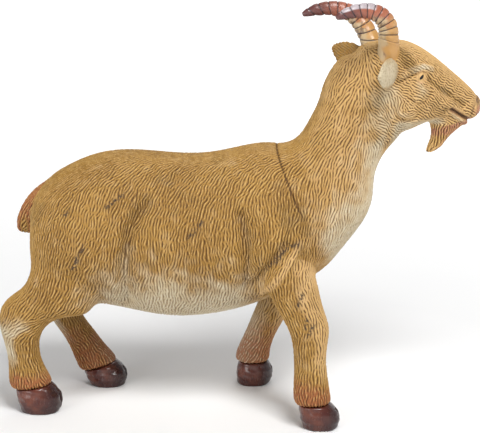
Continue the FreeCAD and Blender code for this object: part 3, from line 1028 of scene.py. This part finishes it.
def coat_paint():
    paint = Paint("painted_coat", 0.28)
    ridge, tone = paint.attribute("ridge"), paint.attribute("tone")
    broad, middle, fine = paint.noise(0.030), paint.noise(0.009), paint.noise(0.0016, 4.0)
    hairs = paint.noise(0.0009, 2.0, (1.0, 1.0, 0.22))

    def spread(name, amount, low, high):
        """A paint's share, broken up by noise and by whole strokes."""
        by_stroke = paint.maths("MULTIPLY_ADD", tone, 0.5 * amount, paint.attribute(name))
        return paint.ramped(paint.shaken(by_stroke, middle, 2.0 * amount), low, high)

    base = paint.mix(paint.ramped(broad, 0.35, 0.65), OCHRE, LIGHT_OCHRE)
    base = paint.mix(paint.ramped(tone, 0.0, 1.0, 0.0, 0.35), base, PALE_OCHRE)
    # Painted light on the lit fronts of the front legs, the elbow ridge, the face and the chest.
    base = paint.over(base, spread("painted_light", 0.25, 0.1, 1.0), 0.75, PAINTED_LIGHT_TINT)
    # Olive paint and painted shade.
    base = paint.over(base, spread("olive_and_painted_shade", 0.3, 0.2, 0.9), 0.80, OLIVE_AND_SHADE)
    # Painted shade in the creases of the flanks, in the groove colour.
    base = paint.over(base, spread("painted_crease_shade", 0.35, 0.2, 1.1), 0.45, GROOVE)
    # Cream paint, with the painted highlight along the brow.
    cream_and_brow_highlight = spread("cream_and_brow_highlight", 0.32, 0.0, 1.0)
    base = paint.over(base, cream_and_brow_highlight, 0.92, CREAM)
    base = paint.over(base, spread("rust", 0.3, 0.1, 0.9), 0.85, RUST)
    base = paint.over(base, spread("pink", 0.2, 0.2, 0.8), 0.75, PINK)
    worn = paint.shaken(ridge, hairs, 0.7)
    wash = paint.ramped(worn, 0.60, 0.10)
    base = paint.over(base, wash, 0.92, paint.mix(cream_and_brow_highlight, GROOVE, CREAM_GROOVE))
    brushed = paint.maths("MULTIPLY", paint.ramped(worn, 0.70, 1.10), paint.ramped(fine, 0.25, 0.55))
    base = paint.mix(brushed, base, paint.mix(cream_and_brow_highlight, PALE_OCHRE, PALE_CREAM))
    scuff = paint.maths("MULTIPLY", paint.ramped(fine, 0.42, 0.56), paint.attribute("scuff"))
    base = paint.over(base, scuff, 0.9, colour(66, 52, 46))
    base = paint.over(base, paint.attribute("lip_line"), 0.9, colour(70, 42, 44))
    leaning = unit(head_vector(0.74, 0.0, 0.67))
    axes = (leaning, np.cross(leaning, HEAD_LEFT), HEAD_LEFT)
    for side in (-1.0, 1.0):
        centre = mirrored((EYE[0], EYE[1] + 1.0, EYE[2]), side)
        base = paint.mix(slit_share(paint, centre, axes, EYE_SLIT), base, colour(22, 20, 24))
    rough = paint.ramped(fine, 0.3, 0.7, 0.46, 0.62)
    relief = paint.maths("MULTIPLY_ADD", hairs, 2.0, fine)
    return paint.finish(base, rough, paint.maths("ADD", relief, paint.noise(0.0006, 2.0)), 0.0004, 0.6)


def horn_paint():
    paint = Paint("painted_horn")
    along, ring, pale = (paint.attribute(name) for name in ("along", "ring", "pale"))
    middle, fine = paint.noise(0.007), paint.noise(0.0012, 4.0, (1.0, 1.0, 0.4))
    shifted = paint.shaken(along, middle, 0.3)
    base = paint.mix(paint.ramped(shifted, 0.05, 0.40), colour(206, 156, 90), colour(172, 100, 74))
    base = paint.mix(paint.ramped(shifted, 0.45, 0.95), base, colour(100, 58, 56))
    # Painted highlight on the near horn's outer face.
    base = paint.mix(paint.ramped(paint.attribute("painted_horn_highlight"), 0.3, 0.8), base, colour(188, 176, 180))
    base = paint.mix(paint.ramped(pale, 0.1, 1.0, 0.0, 0.9), base, colour(205, 180, 140))
    smudge = paint.maths("MULTIPLY", paint.ramped(pale, 0.2, 0.6),
                         paint.ramped(paint.noise(0.004, 3.0, (1.0, 1.0, 0.5)), 0.50, 0.62))
    base = paint.over(base, smudge, 0.75, colour(112, 84, 66))
    base = paint.over(base, paint.ramped(ring, 0.25, 0.75), 0.85, colour(52, 34, 38))
    rough = paint.ramped(fine, 0.3, 0.7, 0.28, 0.45)
    return paint.finish(base, rough, fine, 0.0003)


def hoof_paint():
    paint = Paint("painted_hoof")
    height, toe = paint.attribute("height"), paint.attribute("toe")
    middle, fine = paint.noise(0.008), paint.noise(0.0014, 4.0, (1.0, 1.0, 0.3))
    base = paint.mix(paint.ramped(middle, 0.35, 0.65), colour(84, 40, 34), colour(116, 62, 46))
    shifted = paint.shaken(toe, middle, 0.5)
    base = paint.mix(paint.ramped(shifted, 0.50, 0.90, 0.0, 0.85), base, colour(40, 20, 23))
    shifted = paint.shaken(height, middle, 0.5)
    base = paint.mix(paint.ramped(shifted, 0.45, 0.05, 0.0, 0.55), base, colour(52, 28, 28))
    base = paint.mix(paint.ramped(shifted, 0.82, 1.05, 0.0, 0.6), base, colour(158, 100, 68))
    rough = paint.ramped(fine, 0.3, 0.7, 0.13, 0.30)
    return paint.finish(base, rough, fine, 0.0003)


def ear_paint(name, first, second):
    paint = Paint(name, 0.28)
    middle, fine = paint.noise(0.006), paint.noise(0.0014, 4.0)
    base = paint.mix(paint.ramped(middle, 0.35, 0.65), first, second)
    shifted = paint.shaken(paint.attribute("along"), middle, 0.5)
    base = paint.mix(paint.ramped(shifted, 0.45, 0.05, 0.0, 0.8), base, OCHRE)
    base = paint.over(base, paint.attribute("rim"), 0.55, LIGHT_OCHRE)
    base = paint.mix(paint.ramped(fine, 0.52, 0.38, 0.0, 0.45), base, CREAM_GROOVE)
    base = paint.mix(paint.ramped(paint.attribute("ridge"), 0.55, 0.05, 0.0, 0.8), base, GROOVE)
    rough = paint.ramped(fine, 0.3, 0.7, 0.5, 0.64)
    return paint.finish(base, rough, fine, 0.0004)


# ---- the goat
def subdivided(mesh, chosen):
    """Cuts the chosen faces finer."""
    grid = bmesh.new()
    grid.from_mesh(mesh)
    grid.faces.ensure_lookup_table()
    edges = {edge for index in chosen for edge in grid.faces[index].edges}
    bmesh.ops.subdivide_edges(grid, edges=list(edges), cuts=1, use_grid_fill=True, smooth=0.0)
    grid.to_mesh(mesh)
    grid.free()


def scuffs(points, normals):
    """Short dark strokes of paint on the surfaces that face right."""
    total = np.zeros(len(points))
    for x, z, lean, length in SCUFFS:
        middle = np.array([x, z]) * MM
        lean = math.radians(lean)
        run = np.array([math.cos(lean), math.sin(lean)]) * length / 2 * MM
        distance, _ = segment_distance(points[:, [0, 2]], middle - run, middle + run)
        total = np.maximum(total, bell(distance, 1.3 * MM) * (normals[:, 1] < -0.2))
    return total


# x and z of the middle in millimetres, lean in degrees and length in millimetres
SCUFFS = [
    (-74.0, 139.0, 37.0, 13.0), (-96.0, 105.0, 64.0, 16.0), (-98.5, 101.0, 70.0, 8.0),
    (-103.0, 131.5, 50.0, 4.0), (-22.0, 126.0, 55.0, 4.0), (-27.0, 120.0, 40.0, 5.0),
    (22.0, 102.0, 52.0, 10.0), (28.0, 108.0, 56.0, 13.0), (35.4, 113.7, 20.0, 4.0),
    (39.0, 80.0, 70.0, 7.0), (46.0, 63.0, 65.0, 8.0), (43.0, 66.0, 80.0, 5.0),
]


def coat_skin():
    mesh = fine_skin(rough_skin())
    behind, _, above = head_coordinates(points_of(mesh))
    on_face = (behind < 74.0) & (above > -40.0)
    subdivided(mesh, [face.index for face in mesh.polygons if on_face[face.vertices[0]]])
    points = points_of(mesh)
    dark = lip_line(points)
    set_points(mesh, sculpt_face(points, normals_of(mesh)))
    return mesh, dark


def make_coat():
    mesh, dark = coat_skin()
    points, normals, edges = points_of(mesh), normals_of(mesh), edges_of(mesh)
    owner = settled(nearest_nodes(points, COAT_NODES), edges)
    ahead = seam_distance(points)
    on_barrel = owner < 2
    owner = np.where(on_barrel & (ahead > 0), 1, np.where(on_barrel, 0, owner))
    height, tone = comb(points, normals, edges, owner)
    values = coat_masks(points, normals, owner)
    values["scuff"] = scuffs(points, normals)
    values["lip_line"] = dark
    amount = hair_height(points, owner)
    up = box_shares(points, "trunk_shell")[2]
    seam = bell(ahead, 0.5 * MM) * smoothstep(0.60, 0.72, up) * on_barrel
    rise = (height - 0.5) * amount * STROKE_HEIGHT - seam * 0.7 * MM
    points = push_along(points, normals, rise)
    set_points(mesh, points)
    values["ridge"] = 0.5 + (height - 0.5) * np.clip(amount * 1.15, 0, 1) - 0.75 * seam
    values["tone"] = tone
    normals = normals_of(mesh)
    faces = face_corners(mesh)
    label = np.array([np.bincount(owner[face]).argmax() for face in faces])
    pieces = []
    for index, name in enumerate(COAT_NODES):
        own = [faces[i] for i in np.flatnonzero(label == index)]
        pieces.append(cut_piece(name + "_piece", own, points, normals, values))
    return pieces


def set_up(piece, node, material):
    piece.data.materials.clear()
    piece.data.materials.append(material)
    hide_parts(node)
    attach(piece, "root")


def build_goat():
    coat, horn, hoof = coat_paint(), horn_paint(), hoof_paint()
    ear = {"right_ear": ear_paint("painted_right_ear", CREAM, colour(214, 198, 166)),
           "left_ear": ear_paint("painted_left_ear", OCHRE, LIGHT_OCHRE)}
    for piece, name in zip(make_coat(), COAT_NODES):
        set_up(piece, name, coat)
    for name in ("right_horn", "left_horn"):
        set_up(make_horn(name), name, horn)
    for name, stroke_depth in (("right_ear", 0.28), ("left_ear", 0.6)):
        set_up(make_ear(name, stroke_depth), name, ear[name])
    for name in HOOF_NODES:
        set_up(make_hoof(name), name, hoof)


# ---- the studio
def make_studio():
    scene = bpy.context.scene
    scene.view_settings.view_transform = "Standard"
    world = bpy.data.worlds.new("studio")
    world.use_nodes = True
    nodes, link = world.node_tree.nodes, world.node_tree.links.new
    background = nodes["Background"]
    background.inputs["Strength"].default_value = WORLD_LIGHT
    place = nodes.new("ShaderNodeTexCoord")
    split = nodes.new("ShaderNodeSeparateXYZ")
    fade = nodes.new("ShaderNodeValToRGB")
    link(place.outputs["Generated"], split.inputs[0])
    link(split.outputs["Z"], fade.inputs["Fac"])
    link(fade.outputs["Color"], background.inputs["Color"])
    for stop, position, grey in zip(fade.color_ramp.elements, (WALL_TOP, CEILING), (1.0, 0.30)):
        stop.position = position
        stop.color = (grey, grey, grey, 1.0)
    scene.world = world
    mesh = bpy.data.meshes.new("floor")
    mesh.from_pydata([(-6, -6, 0), (6, -6, 0), (6, 6, 0), (-6, 6, 0)], [], [(0, 1, 2, 3)])
    floor = linked("floor", mesh)
    pale = bpy.data.materials.new("floor")
    pale.use_nodes = True
    nodes, link = pale.node_tree.nodes, pale.node_tree.links.new
    shader = nodes["Principled BSDF"]
    shader.inputs["Base Color"].default_value = (0.86, 0.86, 0.86, 1.0)
    shader.inputs["Roughness"].default_value = 0.9
    shader.inputs["Emission Color"].default_value = (1.0, 1.0, 1.0, 1.0)
    place = nodes.new("ShaderNodeTexCoord")
    length = nodes.new("ShaderNodeVectorMath")
    length.operation = "LENGTH"
    glow = nodes.new("ShaderNodeMapRange")
    link(place.outputs["Object"], length.inputs[0])
    link(length.outputs["Value"], glow.inputs["Value"])
    for key, number in zip(("From Min", "From Max", "To Max"), FLOOR_GLOW):
        glow.inputs[key].default_value = number
    link(glow.outputs["Result"], shader.inputs["Emission Strength"])
    mesh.materials.append(pale)
    for name, place, size, power in LAMPS:
        lamp = bpy.data.lights.new(name, "AREA")
        lamp.size = size
        lamp.energy = power
        holder = bpy.data.objects.new(name, lamp)
        scene.collection.objects.link(holder)
        holder.location = place
        holder.rotation_euler = turned_to(place, LAMP_TARGET)


WORLD_LIGHT = 0.9
WALL_TOP = 0.12    # the sine of the height to which the studio's walls are white
CEILING = 0.45     # and the sine from which they are grey
FLOOR_GLOW = (0.25, 1.6, 0.9)    # it starts and ends so far from the middle, and ends at this strength
LAMP_TARGET = (0.0, 0.0, 0.12)
# name, place, size in metres and watts
LAMPS = [
    ("key", (0.42, -0.78, 1.25), 0.60, 21.5),
    ("fill", (-0.75, -0.95, 0.30), 0.6, 5.0),
    ("rim", (0.10, 0.75, 1.0), 0.6, 3.0),
]
CAMERA_PLACE = (0.0446, -0.8446, 0.320)
CAMERA_TARGET = (0.00015, 0.00426, 0.1221)
CAMERA_LENS = 103.9


def turned_to(place, target):
    """The rotation of a camera or lamp at this place that looks at the target."""
    return (Vector(target) - Vector(place)).to_track_quat("-Z", "Y").to_euler()


def make_camera():
    camera = bpy.data.objects.new("camera", bpy.data.cameras.new("camera"))
    bpy.context.scene.collection.objects.link(camera)
    camera.data.lens = CAMERA_LENS
    camera.location = CAMERA_PLACE
    camera.rotation_euler = turned_to(CAMERA_PLACE, CAMERA_TARGET)
    bpy.context.scene.camera = camera


build_goat()
make_studio()
make_camera()
